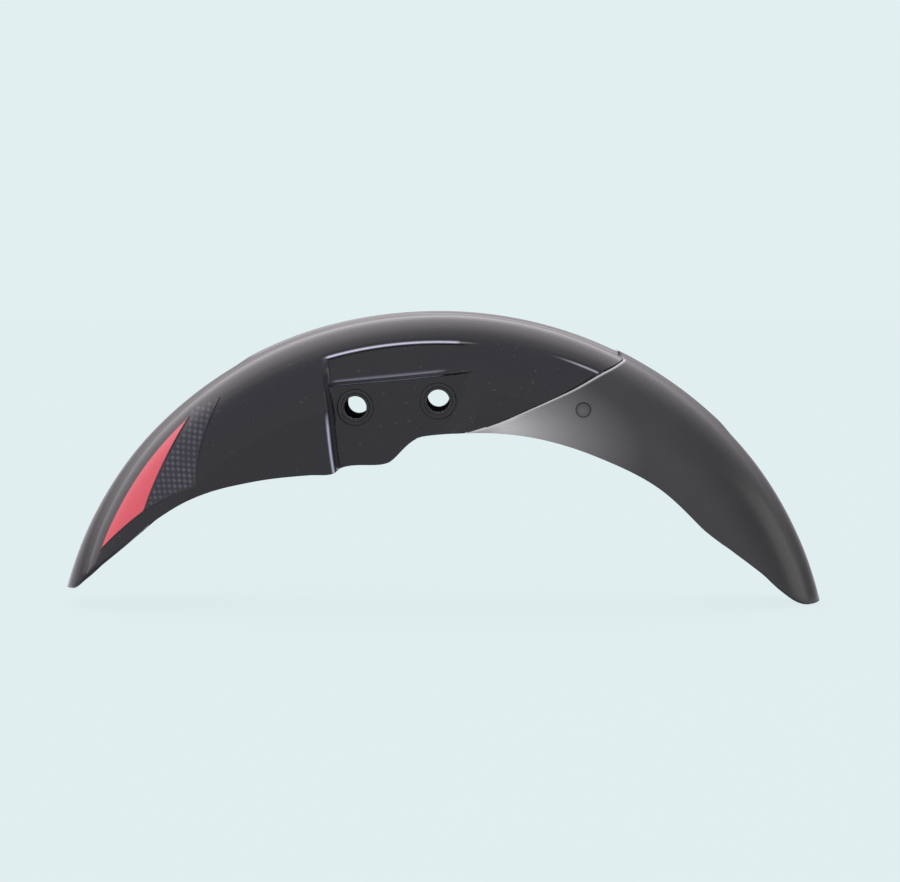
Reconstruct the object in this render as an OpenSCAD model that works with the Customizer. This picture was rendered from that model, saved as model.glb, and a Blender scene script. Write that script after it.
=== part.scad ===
// Front mudguard of a small motorcycle, in two plastic mouldings. The gloss front shell has a
// fork pocket in each side. The satin rear extension laps over the shell's tail along a
// slanted seam and is held by three screws from inside. X runs rearward, Z up, Y from the
// left side to the right, and the origin is the middle of the part's box. Angles are taken
// about the wheel axle from straight up, rearward positive, and depths are measured
// radially from the crown line towards the axle.

/* [Wheel arch] */
// Radius of the crown line about the wheel axle
crown_r = 325; // [315:1:335]
// Depth over which the rounded crown turns into the upright side walls
crown_h = 60; // [56:1:64]
// Half of the width at the nose
nose_half_w = 67; // [64:0.5:70]
// Half of the width behind the fork pockets
mid_half_w = 58.5; // [57:0.5:61]
// Half of the width at the rear end
tail_half_w = 47; // [42:0.5:52]
// Wall of both mouldings
wall = 2.5; // [2.2:0.1:2.8]
// Extra thickness of the free rims, on the inner side
rim_bead = 1.3; // [0.6:0.1:1.8]
// Height over which a rim thickens
rim_h = 5; // [3:0.5:6]

/* [Crown spine] */
// Height of the low spine along the crown
spine_h = 1; // [0.5:0.1:1.5]
// Width of the spine's flat top
spine_w = 14; // [10:1:18]
// Width of each shoulder of the spine
spine_shoulder = 2.5; // [1.5:0.5:4]
// Angle ahead of the top at which the spine starts
spine_front = 31; // [26:1:36]
// Angle behind the top at which the spine ends
spine_rear = 47; // [42:1:52]

/* [Fork pockets] */
// Half of the width over the two flat fork pads
pad_half_w = 52.5; // [50:0.5:54]
// Depth of the upper fold below the crown line
upper_fold = 24.8; // [23:0.2:27]
// Greatest depth of the straight lower fold below the crown line
lower_fold = 51.5; // [50:0.1:52]
// Run of each fold along the section
fold_run = 2.4; // [1.6:0.2:3]
// Inward step at the upper fold
upper_step = 1.8; // [1:0.2:2.4]
// Inward step at the lower fold
lower_step = 2.5; // [1.5:0.5:3]

/* [Rear crease] */
// Angle behind the top at which the crease ahead of the seam starts
crease_start = 16.5; // [15:0.5:18]
// Angle over which it reaches its full step
crease_run = 4; // [3:0.5:5]
// Inward step at the crease
crease_step = 0.8; // [0.4:0.1:1]
// Height of the crease over the level of the upper fold
crease_rise = 2.2; // [1.5:0.1:2.6]

/* [Fork bolt holes] */
// Diameter of a fork bolt hole
hole_d = 18; // [12:0.5:19]
// Distance between the two holes of one side
hole_gap = 66.5; // [64:0.1:68]
// Fall of the hole line towards the front, in degrees
hole_tilt = 4.5; // [2:0.5:6]
// Angle ahead of the top of the point midway between the holes
hole_angle = 7.8; // [7.2:0.1:8.4]
// Distance from the crown radius down to that point
hole_drop = 72.2; // [71:0.1:75]
// Diameter of the raised boss round a hole
boss_d = 29; // [26:0.5:30]
// Height of the boss over the pad
boss_h = 1.2; // [0.8:0.1:1.8]
// Diameter of the dished seat in the boss
seat_d = 23; // [20.5:0.5:24.5]
// Depth of the dished seat
seat_depth = 0.8; // [0.4:0.1:1.1]

/* [Lap joint] */
// Height of the extension's front edge over the front shell
lap_h = 1.2; // [0.8:0.1:1.5]
// Clearance between the extension and the tongue under it
lap_gap = 0.3; // [0.2:0.05:0.4]
// Wall of the tongue
tongue_t = 2.2; // [1.8:0.1:2.6]
// Length of the tongue behind the seam, in degrees
tongue_len = 8.5; // [8:0.5:10]
// Run of the step down to the tongue, in degrees
joggle_run = 0.5; // [0.4:0.1:0.8]

/* [Joining screws] */
// Angle of the screws behind the seam
screw_back = 5.2; // [5:0.1:5.6]
// Depth of the side screws below the crown line
screw_depth = 52.6; // [49:0.2:57]
// Diameter of the extension's screw bosses
spigot_d = 10.5; // [9:0.5:12]
// Clearance round a screw boss in its hole in the tongue
spigot_gap = 0.5; // [0.3:0.1:0.8]
// Diameter of the tongue's thickened screw pads
pad_d = 18; // [17:0.5:19]
// Height of those pads under the tongue
pad_h = 3.5; // [3:0.5:5]
// Diameter of the dimple outside each side screw
dimple_d = 12; // [10:0.5:13]
// Depth of the dimple
dimple_depth = 0.7; // [0.4:0.1:0.9]
// Width of the raised ring round the dimple
dimple_ring = 1.4; // [1:0.1:2]
// Core diameter of a screw
screw_d = 4.2; // [3.6:0.1:4.6]
// Length of a screw under its head
screw_len = 7; // [6:0.5:7.5]
// Diameter of a screw head
head_d = 9.5; // [8.5:0.5:11]
// Height of a screw head
head_h = 3.2; // [2.8:0.1:3.6]
// Outer diameter of a washer
washer_d = 16; // [14.5:0.5:17]
// Thickness of a washer
washer_t = 1.2; // [0.8:0.1:1.6]

/* [Side graphics] */
// Thickness of the adhesive films
film_t = 0.3; // [0.2:0.05:0.4]
// Height of a film over the skin
film_gap = 0.15; // [0.1:0.05:0.3]
// Bare strip between the red flash and the dark film
film_strip = 0.6; // [0.4:0.1:1]

/* [Hidden] */
$fn = 48;

// Largest angle between two rings of the skins, and rows on each side wall
ring_step = 2.8;
wall_rows = 5;
// Growth of the pocket on the inner skin, so that its slanted walls keep their thickness
pocket_grow = 1.2;
spine_fade = 3;
// Angle at which the lower fold is deepest, half of the angle over which it runs straight, and
// depth under it over which the rows go back to their places
fold_mid = -6.3;
fold_half = 11.7;
fold_fade = 24;

// Crown line: angle and offset from the crown radius
crown_line = [[-72, -4.4], [-60, -1.4], [-46, 0.6], [-28, 0.4], [0, -1.8],
    [30, -0.8], [50, 0], [66, -1.6], [76, -3.6]];
// Half width of the side walls: angle and width
half_width = [[-72, nose_half_w - 7], [-55, nose_half_w - 1], [-24, nose_half_w],
    [-10, nose_half_w - 3], [4, mid_half_w + 1], [15, mid_half_w], [36, mid_half_w],
    [56, (mid_half_w + tail_half_w) / 2 + 1], [76, tail_half_w]];
// Lower side edge from the nose corner to the tail corner: angle and depth
side_edge = [[-53.2, 49.9], [-47.5, 62.7], [-38.6, 84], [-27.9, 105.3], [-23.3, 111.9],
    [-21.5, 110.6], [-12.5, 116.7], [-11.1, 116], [-9.8, 113.2], [-6.2, 102.9], [-4, 98.7],
    [1.3, 96.6], [15.8, 89.1], [31.6, 80.5], [43.9, 71.3], [53.7, 66.7], [58.1, 60.3],
    [62.5, 48.2]];
// Free edges across the nose and the tail, and the seam: depth and angle
nose_edge = [[0, -72], [6, -71.2], [17.9, -67.7], [34.2, -62], [42.4, -58], [49.9, -53.2]];
tail_edge = [[0, 74.2], [9.3, 73.8], [17.7, 72.9], [31, 69.7], [48.2, 62.5]];
seam_line = [[0, 26.1], [0.8, 26.9], [2.8, 27.5], [8.3, 27], [23, 24.9], [40.4, 22.2],
    [55.8, 19], [68.9, 15.7], [81.1, 12], [90.5, 7.9], [95, 5]];
// Front and rear boundaries of a fork pocket: depth and angle
step_outer = [[0, -17.6], [16, -18.1], [55, -19.5], [112, -22.9]];
step_inner = [[0, -16.2], [23, -16.9], [65, -18.8], [111, -21.5]];
blend_start = [[0, 2], [50, 2.9], [71, 3.3], [85, 2.5], [98, 0.8]];
blend_end = [[0, 6.5], [50, 7.4], [71, 7.4], [85, 6], [98, 3.6]];

// Corners of the films on the nose: angle and depth
flash_top = [-40.2, 12.5];
flash_toe = [-64.1, 19.7];
flash_bend = [-47.5, 26];
flash_heel = [-54.9, 36.7];
flash_point = 0.4;
weave_peak = [-39.3, 7.5];
weave_top = [-34.5, 15];
weave_bend = [-42.6, 42];
weave_heel = [-46.1, 57.1];

// A smooth curve through the rows of a table, without overshoot
function span_of(t, x, i = 0) = (i >= len(t) - 2 || x < t[i + 1][0]) ? i : span_of(t, x, i + 1);
function rise(t, i) = (t[i + 1][1] - t[i][1]) / (t[i + 1][0] - t[i][0]);
function harmonic(p, q) = p * q <= 0 ? 0 : 2 * p * q / (p + q);
function slope_at(t, i) =
    i == 0 ? rise(t, 0)
    : i == len(t) - 1 ? rise(t, i - 1)
    : harmonic(rise(t, i - 1), rise(t, i));
function curve(t, x) =
    let (
        i = span_of(t, x),
        h = t[i + 1][0] - t[i][0],
        u = max(0, min(1, (x - t[i][0]) / h)),
        v = 1 - u
    )
    (1 + 2 * u) * v * v * t[i][1] + u * v * v * h * slope_at(t, i)
    + (3 - 2 * u) * u * u * t[i + 1][1] - v * u * u * h * slope_at(t, i + 1);
function ease(u) = let (c = max(0, min(1, u))) c * c * (3 - 2 * c);
function mix(p, q, w) = p + (q - p) * w;
function last(list) = list[len(list) - 1];

function crown(a) = crown_r + curve(crown_line, a);
function edge_depth(a) = curve(side_edge, a);
function arc_at(d) = d >= crown_h ? 90 : acos(1 - d / crown_h);

// Plain section: half-ellipse crown over upright walls, pushed out by off along its normal.
// Gives the distance from the middle plane and from the axle.
function plain(a, d, off) =
    let (
        f = arc_at(d),
        b = curve(half_width, a),
        n = norm([crown_h * sin(f), b * cos(f)])
    )
    [b * sin(f) + off * crown_h * sin(f) / n, crown(a) - d + off * b * cos(f) / n];
function spine_rise(a, y) =
    spine_h * ease((spine_w / 2 + spine_shoulder - y) / spine_shoulder)
    * ease((a + spine_front) / spine_fade) * ease((spine_rear - a) / spine_fade);

// How far the fork pocket draws the wall in, from 0 outside it to 1 inside it
function gate(a, d, grow) =
    let (g = grow / (crown_r - d) * 180 / PI)
    ease((a + g - curve(step_outer, d)) / (curve(step_inner, d) - curve(step_outer, d)))
    * ease((curve(blend_end, d) + g - a) / (curve(blend_end, d) - curve(blend_start, d)));
function fold(d, at, grow) = ease((d + grow - at) / fold_run + 0.5);
function shelf_y(a, d) =
    let (u = (d - upper_fold) / (lower_fold - upper_fold))
    mix(plain(a, upper_fold, 0)[0] - upper_step, pad_half_w + lower_step, u);
function pocket_shift(a, d, y, off, grow) =
    let (s = fold(d, lower_fold, grow))
    gate(a, d, grow) * fold(d, upper_fold, grow)
    * (mix(shelf_y(a, d), pad_half_w, s) + off - y);

// How far a row is raised, so that the lower fold runs straight and the crease stands higher
crease_lead = 6;
function row_raise(a, d) =
    (crown_r - lower_fold) * (1 / cos(a - fold_mid) - 1) * ease((fold_half + 3 - abs(a - fold_mid)) / 3)
    * ease((d - upper_fold) / (lower_fold - upper_fold)) * ease((lower_fold + fold_fade - d) / fold_fade)
    + crease_rise * ease((a - crease_start + crease_lead) / crease_lead) * ease(d / upper_fold)
    * ease((lower_fold - d) / (lower_fold - upper_fold));
function crease_drop(a, d, grow) =
    crease_step * ease((a - crease_start) / crease_run) * fold(d, upper_fold, grow)
    * ease((lower_fold + 10 - d) / (lower_fold - upper_fold));

// A point of a skin. The side is -1 for left, 1 for right.
function skin(a, d, side, off, grow, pocketed) =
    let (
        p = plain(a, d - (pocketed ? row_raise(a, d) : 0), off),
        y = p[0] + (pocketed ? pocket_shift(a, d, p[0], off, grow) - crease_drop(a, d, grow) : 0),
        r = p[1] + spine_rise(a, p[0])
    )
    [r * sin(a), side * y, r * cos(a)];

// Rails are the lines across a moulding that its rings are spread between: the nose edge,
// the pocket's four boundaries, the step to the tongue and the tongue's end
function rail(k, d, grow) =
    let (g = grow / (crown_r - d) * 180 / PI)
    k == 0 ? curve(nose_edge, d)
    : k == 1 ? curve(step_outer, d) - g
    : k == 2 ? curve(step_inner, d) - g
    : k == 3 ? curve(blend_start, d) + g
    : k == 4 ? curve(blend_end, d) + g
    : k == 5 ? curve(seam_line, d) - joggle_run - 0.05
    : k == 6 ? curve(seam_line, d) - 0.05
    : k == 7 ? curve(seam_line, d) + tongue_len
    : k == 8 ? curve(seam_line, d)
    : curve(tail_edge, d);
// Angle at which a rail meets the side edge, from a first guess
foot_start = [-23, -21, 1, 4, 5, 6, 13, 6];
function meet(k, grow, a, n = 8) = n == 0 ? a : meet(k, grow, rail(k, edge_depth(a), grow), n - 1);
nose_corner = side_edge[0][0];
tail_corner = last(side_edge)[0];
function foot(k, grow) =
    k == 0 ? nose_corner
    : k == 9 ? tail_corner
    : meet(k, grow, foot_start[k - 1]);

// Depths of the rows on one side, for an edge depth. The full depths shrink where the
// section is shallow.
arc_rows = [for (y = [0, spine_w / 2, spine_w / 2 + spine_shoulder])
    crown_h * (1 - sqrt(1 - pow(y / mid_half_w, 2)))];
function front_rows(grow) = concat(arc_rows,
    [for (f = [16, 24, 32, 40, 47]) crown_h * (1 - cos(f))],
    [upper_fold - fold_run / 2 - grow, upper_fold + fold_run / 2 - grow],
    [for (w = [1, 2]) mix(upper_fold, lower_fold, w / 3)],
    [lower_fold - fold_run / 2 - grow, lower_fold + fold_run / 2 - grow]);
rear_rows = concat(arc_rows, [for (f = [17, 26, 35, 44, 54, 66, 80]) crown_h * (1 - cos(f))]);
function row_depths(full, depth) =
    let (
        g = min(1, 0.8 * depth / last(full)),
        rim = depth - min(rim_h, 0.1 * depth)
    )
    concat(full * g, [for (j = [1 : wall_rows]) mix(last(full) * g, rim, j / wall_rows)], [depth]);

// Shares of the way from rail k to the next one, with rings at the corners of the side edge
function shares(k, least, inset) =
    let (
        a = foot(k, 0),
        b = foot(k + 1, 0),
        step = min(ring_step, (b - a) / least),
        stops = concat([a], inset > 0 ? [a + inset] : [],
            [for (p = side_edge) if (p[0] > a + 1.2 && p[0] < b - 1.2) p[0]],
            inset < 0 ? [b + inset] : [], [b])
    )
    [for (i = [0 : len(stops) - 2])
        let (n = ceil((stops[i + 1] - stops[i]) / step - 0.01))
        for (j = [0 : n - 1]) (mix(stops[i], stops[i + 1], j / n) - a) / (b - a)];

// One ring of points from the left edge over the crown to the right edge.
// ring = [rail, share, outer offset, inner offset, lift of the edge, rim bead]
function ring_points(ring, full, inner) =
    let (
        k = ring[0],
        w = ring[1],
        grow = inner ? pocket_grow : 0,
        foot_a = foot(k, grow),
        foot_b = foot(min(k + 1, 9), grow),
        from = row_depths(full, edge_depth(foot_a) - ring[4]),
        to = row_depths(full, edge_depth(foot_b) - ring[4]),
        at = row_depths(full, edge_depth(mix(foot_a, foot_b, w)) - ring[4]),
        n = len(at) - 1
    )
    [for (j = [-n : n])
        let (
            m = abs(j),
            a = mix(rail(k, from[m], grow), rail(k + 1, to[m], grow), w),
            bead = m == n || ring[5] == 2 ? min(1, ring[5]) * rim_bead : 0
        )
        skin(a, at[m], sign(j), inner ? ring[3] - bead : ring[2], grow, k < 6)];

// Closed wall between two grids of points
module wall_solid(outer, inner) {
    n = len(outer);
    m = len(outer[0]);
    function id(s, i, j) = (s * n + i) * m + j;
    function quad(p, q, r, s) = [[r, q, p], [s, r, p]];
    points = concat([for (row = outer) each row], [for (row = inner) each row]);
    faces = concat(
        [for (i = [0 : n - 2], j = [0 : m - 2])
            each quad(id(0, i, j), id(0, i + 1, j), id(0, i + 1, j + 1), id(0, i, j + 1))],
        [for (i = [0 : n - 2], j = [0 : m - 2])
            each quad(id(1, i, j), id(1, i, j + 1), id(1, i + 1, j + 1), id(1, i + 1, j))],
        [for (i = [0 : n - 2])
            each quad(id(0, i, 0), id(1, i, 0), id(1, i + 1, 0), id(0, i + 1, 0))],
        [for (i = [0 : n - 2])
            each quad(id(0, i, m - 1), id(0, i + 1, m - 1), id(1, i + 1, m - 1), id(1, i, m - 1))],
        [for (j = [0 : m - 2])
            each quad(id(0, 0, j), id(0, 0, j + 1), id(1, 0, j + 1), id(1, 0, j))],
        [for (j = [0 : m - 2])
            each quad(id(0, n - 1, j), id(1, n - 1, j), id(1, n - 1, j + 1), id(0, n - 1, j + 1))]);
    polyhedron(points, faces, convexity = 8);
}

// Depth of the tongue's outer face under the skin, and how far its edge is lifted clear of
// the extension's rim bead
tongue_drop = wall + lap_gap - lap_h;
tongue_lift = rim_h + 1.5;
front_rings = concat(
    [for (w = shares(0, 12, 1)) [0, w, 0, -wall, 0, w == 0 ? 2 : 1]],
    [for (w = [0, 0.2, 0.5, 0.8]) [1, w, 0, -wall, 0, 1]],
    [for (w = shares(2, 8, 0)) [2, w, 0, -wall, 0, 1]],
    [for (w = [0, 0.25, 0.5, 0.75]) [3, w, 0, -wall, 0, 1]],
    [for (w = [0 : 6]) [4, w / 7, 0, -wall, 0, 1]],
    [[5, 0, 0, -wall, 0, 1]],
    [for (w = [0 : 3]) [6, w / 3, -tongue_drop, -tongue_drop - tongue_t, tongue_lift, 0]]);
rear_rings = [for (w = concat(shares(8, 18, -1), [1]))
    [8, w, lap_h, lap_h - wall, 0, w == 1 ? 2 : 1]];
front_outer = [for (r = front_rings) ring_points(r, front_rows(0), false)];
front_inner = [for (r = front_rings) ring_points(r, front_rows(pocket_grow), true)];
rear_outer = [for (r = rear_rings) ring_points(r, rear_rows, false)];
rear_inner = [for (r = rear_rings) ring_points(r, rear_rows, true)];

// Children are moved from the axle to the middle of the box
box_mid = [for (i = [0, 2])
    let (c = [for (grid = [front_outer, front_inner, rear_outer, rear_inner], row = grid, q = row) q[i]])
    (min(c) + max(c)) / 2];
module centred() {
    translate([-box_mid[0], 0, -box_mid[1]])
        children();
}

// Children are set on the plain skin, with +Z along its outward normal
module on_skin(a, d, side) {
    p = plain(a, d, 0);
    tilt = side * atan2(crown_h * sin(arc_at(d)), curve(half_width, a) * cos(arc_at(d)));
    translate([p[1] * sin(a), side * p[0], p[1] * cos(a)])
        rotate([0, a, 0])
            rotate([-tilt, 0, 0])
                children();
}

// The joining screws: one in each side and one in the crown
screw_places = [for (d = [screw_depth, 0, screw_depth]) [curve(seam_line, d) + screw_back, d]];
module at_screws() {
    for (i = [0 : 2])
        on_skin(screw_places[i][0], screw_places[i][1], i - 1)
            children();
}

// The fork bolt holes. +Z runs outward from the middle plane.
hole_mid = (crown_r - hole_drop) * [-sin(hole_angle), cos(hole_angle)];
module at_fork_holes() {
    for (side = [-1, 1], end = [-0.5, 0.5])
        translate([hole_mid[0] + end * hole_gap * cos(hole_tilt), 0,
            hole_mid[1] + end * hole_gap * sin(hole_tilt)])
            rotate([-90 * side, 0, 0])
                children();
}

// Heights on a joining screw's axis, from the plain skin inwards
tongue_in = tongue_drop + tongue_t;
seat_z = tongue_in + pad_h;
spigot_z = seat_z - lap_gap;
sunk = 0.3;
skin_left = 1.2;
cut = 0.5;

module front_shell() {
    color([0.05, 0.05, 0.06])
    centred()
    difference() {
        union() {
            at_fork_holes()
                translate([0, 0, pad_half_w - wall / 2])
                    cylinder(h = wall / 2 + boss_h, d = boss_d);
            wall_solid(front_outer, front_inner);
            at_screws()
                translate([0, 0, -seat_z])
                    cylinder(h = seat_z - tongue_drop - 0.85, d = pad_d);
        }
        at_fork_holes()
            translate([0, 0, pad_half_w - wall - cut])
                cylinder(h = wall + boss_h + 2 * cut, d = hole_d);
        at_fork_holes()
            translate([0, 0, pad_half_w + boss_h - seat_depth])
                cylinder(h = seat_depth + cut, d = seat_d);
        at_screws()
            translate([0, 0, -seat_z - cut])
                cylinder(h = seat_z + cut, d = spigot_d + 2 * spigot_gap);
    }
}

module rear_extension() {
    ring_top = lap_h + 0.3;
    color([0.25, 0.25, 0.26])
    centred()
    difference() {
        union() {
            wall_solid(rear_outer, rear_inner);
            at_screws()
                translate([0, 0, -spigot_z])
                    cylinder(h = spigot_z + sunk, d = spigot_d);
            for (i = [0, 2])
                on_skin(screw_places[i][0], screw_places[i][1], i - 1)
                    cylinder(h = ring_top, d = dimple_d + 2 * dimple_ring);
        }
        for (i = [0, 2])
            on_skin(screw_places[i][0], screw_places[i][1], i - 1)
                translate([0, 0, lap_h - dimple_depth])
                    cylinder(h = dimple_depth + 1, d = dimple_d);
        at_screws()
            translate([0, 0, -spigot_z - cut])
                cylinder(h = spigot_z + cut + lap_h - dimple_depth - skin_left, d = screw_d + 0.2);
    }
}

// A film on the nose, spread between a front and a rear edge. An edge is a table of share,
// angle and depth.
function edge_at(edge, u) =
    [for (i = [1, 2]) curve([for (p = edge) [p[0], p[i]]], u)];
module film(side, front_edge, rear_edge, rows, cols) {
    function at(u, v, off) =
        let (p = mix(edge_at(front_edge, u), edge_at(rear_edge, u), v))
        skin(p[0], p[1], side, off, 0, false);
    function grid(off) = [for (i = [0 : rows])
        [for (j = [0 : cols]) at(i / rows, (side < 0 ? j : cols - j) / cols, off)]];
    wall_solid(grid(film_gap + film_t), grid(film_gap));
}

module flash_film(side) {
    color([0.8, 0.2, 0.24])
    centred()
    film(side,
        [[0, flash_top[0], flash_top[1]], [1, flash_toe[0], flash_toe[1]]],
        [[0, flash_top[0] + flash_point, flash_top[1]], [0.5, flash_bend[0], flash_bend[1]],
            [1, flash_heel[0], flash_heel[1]]],
        12, 4);
}

module weave_film(side) {
    strip = film_strip / crown_r * 180 / PI;
    color([0.2, 0.2, 0.22])
    centred()
    film(side,
        [[0, weave_peak[0], weave_peak[1]],
            [0.14, flash_top[0] + flash_point + strip, flash_top[1]],
            [0.57, flash_bend[0] + strip, flash_bend[1]],
            [1, flash_heel[0] + strip, flash_heel[1]]],
        [[0, weave_top[0], weave_top[1]], [0.62, weave_bend[0], weave_bend[1]],
            [1, weave_heel[0], weave_heel[1]]],
        14, 6);
}

module joining_screws() {
    slot_w = 1.3;
    color([0.35, 0.35, 0.37])
    centred()
    at_screws()
        translate([0, 0, -seat_z - washer_t])
            difference() {
                union() {
                    translate([0, 0, -head_h])
                        cylinder(h = head_h, d = head_d);
                    cylinder(h = screw_len, d = screw_d);
                }
                for (turn = [0, 90])
                    rotate([0, 0, turn])
                        translate([-head_d / 3, -slot_w / 2, -head_h - cut])
                            cube([head_d / 1.5, slot_w, head_h / 2 + cut]);
            }
}

module screw_washers() {
    color([0.6, 0.6, 0.62])
    centred()
    at_screws()
        translate([0, 0, -seat_z - washer_t])
            difference() {
                cylinder(h = washer_t, d = washer_d);
                translate([0, 0, -cut])
                    cylinder(h = washer_t + 2 * cut, d = screw_d + 1);
            }
}

front_shell();
rear_extension();
flash_film(-1);  // flash_film_left
flash_film(1);  // flash_film_right
weave_film(-1);  // weave_film_left
weave_film(1);  // weave_film_right
joining_screws();
screw_washers();
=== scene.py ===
import math
import bmesh
import bpy
import numpy as np
from mathutils import Matrix, Vector


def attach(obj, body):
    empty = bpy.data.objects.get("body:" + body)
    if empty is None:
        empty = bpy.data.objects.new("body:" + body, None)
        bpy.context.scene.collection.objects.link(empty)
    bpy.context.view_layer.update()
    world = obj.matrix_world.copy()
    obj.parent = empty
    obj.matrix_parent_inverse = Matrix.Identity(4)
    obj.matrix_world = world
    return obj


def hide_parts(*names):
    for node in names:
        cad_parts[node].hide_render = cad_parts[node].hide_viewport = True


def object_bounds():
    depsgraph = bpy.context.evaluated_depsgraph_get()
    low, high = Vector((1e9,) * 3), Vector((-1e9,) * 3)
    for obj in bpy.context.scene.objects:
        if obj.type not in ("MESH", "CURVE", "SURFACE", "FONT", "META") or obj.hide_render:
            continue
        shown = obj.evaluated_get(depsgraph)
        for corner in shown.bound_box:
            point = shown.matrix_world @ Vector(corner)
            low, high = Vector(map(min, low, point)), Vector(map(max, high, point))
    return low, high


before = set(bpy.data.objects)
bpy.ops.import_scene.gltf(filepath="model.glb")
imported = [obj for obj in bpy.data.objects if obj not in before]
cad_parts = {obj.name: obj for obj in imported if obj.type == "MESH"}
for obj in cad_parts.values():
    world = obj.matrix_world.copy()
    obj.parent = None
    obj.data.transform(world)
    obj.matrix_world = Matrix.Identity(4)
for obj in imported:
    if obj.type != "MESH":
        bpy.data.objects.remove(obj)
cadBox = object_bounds()
scene = bpy.context.scene
mm = 0.001

view = {   # the photograph's own angle
    "target": (0.00532, 0.0, 0.01266),   # the point in the middle of the picture
    "distance": 2.4,
    "elevation": 3.3,                    # degrees above the horizon
    "widthAtTarget": 0.73494,            # metres across the picture there
    "background": (0.753, 0.863, 0.871),
    "glow": (0.751, 0.863, 0.871),       # the floor's own part of that tone
}


def setCamera():
    tilt = math.radians(view["elevation"])
    cam = bpy.data.cameras.new("photoCamera")
    cam.sensor_width = 36
    cam.lens = 36 * view["distance"] / view["widthAtTarget"]
    cam.clip_start = 0.05
    cam.clip_end = 60
    obj = bpy.data.objects.new("photoCamera", cam)
    target = Vector(view["target"])
    obj.location = target + view["distance"] * Vector((0, -math.cos(tilt), math.sin(tilt)))
    obj.rotation_euler = (math.pi / 2 - tilt, 0, 0)
    scene.collection.objects.link(obj)
    scene.camera = obj


def areaLamp(name, place, aim, size, watts, colour):
    lamp = bpy.data.lights.new(name, "AREA")
    lamp.shape = "RECTANGLE"
    lamp.size, lamp.size_y = size
    lamp.energy = watts
    lamp.color = colour
    obj = bpy.data.objects.new(name, lamp)
    obj.location = place
    obj.rotation_euler = (Vector(aim) - Vector(place)).to_track_quat("-Z", "Y").to_euler()
    scene.collection.objects.link(obj)


def setInputs(node, values):
    for name, value in values.items():
        node.inputs[name].default_value = value


softbox = {   # a weak lamp beyond the tail
    "name": "rightSoftbox",
    "place": (2.0, -0.15, 0.3),
    "aim": (0, -0.05, 0),
    "size": (0.9, 1.0),
    "watts": 3,
    "colour": (1.0, 0.99, 0.96),
}


room = {   # the pale studio that the paint mirrors
    "strength": 2.3,
    "dimFrom": 0.3,     # it darkens towards the tail
    "dimTo": 0.95,
    "dimmest": 0.3,
}
plainTone, pinkTone, blueTone = (0.96, 0.945, 1.02), (0.98, 0.93, 0.97), (0.92, 0.91, 1.02)
roomTones = [   # angle in degrees, share of the room's greatest brightness, tint
    (-180, 0.37, plainTone), (180, 0.37, plainTone), (-90, 0.30, plainTone), (-5, 0.33, plainTone),
    (15, 0.2, pinkTone), (30, 0.5, pinkTone), (36, 1.0, pinkTone), (41, 0.87, pinkTone),
    (50, 0.72, pinkTone), (64, 0.72, pinkTone), (70, 0.69, pinkTone), (75, 0.61, pinkTone),
    (85, 0.47, pinkTone), (95, 0.38, blueTone), (103, 0.35, blueTone), (129, 0.36, blueTone),
]


def setWorld():
    world = bpy.data.worlds.new("paleRoom")
    scene.world = world
    world.use_nodes = True
    nodes, links = world.node_tree.nodes, world.node_tree.links
    nodes.clear()
    out, path, blend, mirrored, seen, coord, split, ramp, turn, lift, side, dim = (
        nodes.new("ShaderNode" + kind) for kind in (
            "OutputWorld", "LightPath", "MixShader", "Background", "Background", "TexCoord",
            "SeparateXYZ", "ValToRGB", "Math", "Math", "MapRange", "VectorMath"))
    setInputs(mirrored, {"Strength": room["strength"]})
    setInputs(seen, {"Color": (*view["background"], 1), "Strength": 1})
    turn.operation = "ARCTAN2"   # the angle about the part's long axis, 0 behind it, 90 overhead
    lift.operation = "MULTIPLY_ADD"
    lift.inputs[1].default_value = 0.5 / math.pi
    lift.inputs[2].default_value = 0.5
    tones = ramp.color_ramp.elements
    for i, (degrees, level, tint) in enumerate(roomTones):
        place = degrees / 360 + 0.5
        tone = tones[i] if i < 2 else tones.new(place)
        if i < 2:
            tone.position = place
        tone.color = (*(level * c for c in tint), 1)
    side.interpolation_type = "SMOOTHSTEP"
    setInputs(side, {"From Min": room["dimFrom"], "From Max": room["dimTo"], "To Min": 1.0,
                     "To Max": room["dimmest"]})
    dim.operation = "SCALE"
    for source, sink in (
            (coord.outputs["Generated"], split.inputs[0]), (split.outputs["Z"], turn.inputs[0]),
            (split.outputs["Y"], turn.inputs[1]), (turn.outputs[0], lift.inputs[0]),
            (lift.outputs[0], ramp.inputs["Fac"]), (split.outputs["X"], side.inputs["Value"]),
            (ramp.outputs["Color"], dim.inputs[0]), (side.outputs["Result"], dim.inputs["Scale"]),
            (dim.outputs["Vector"], mirrored.inputs["Color"]),
            (path.outputs["Is Camera Ray"], blend.inputs["Fac"]), (mirrored.outputs[0], blend.inputs[1]),
            (seen.outputs[0], blend.inputs[2]), (blend.outputs[0], out.inputs["Surface"])):
        links.new(source, sink)


floor = {
    "halfSize": 14,
    "below": 0.0005,                # metres under the part
    "matt": (0.74, 0.78, 0.785),
    "glowShare": 0.94,              # the rest shows the part's shadow
}


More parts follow.
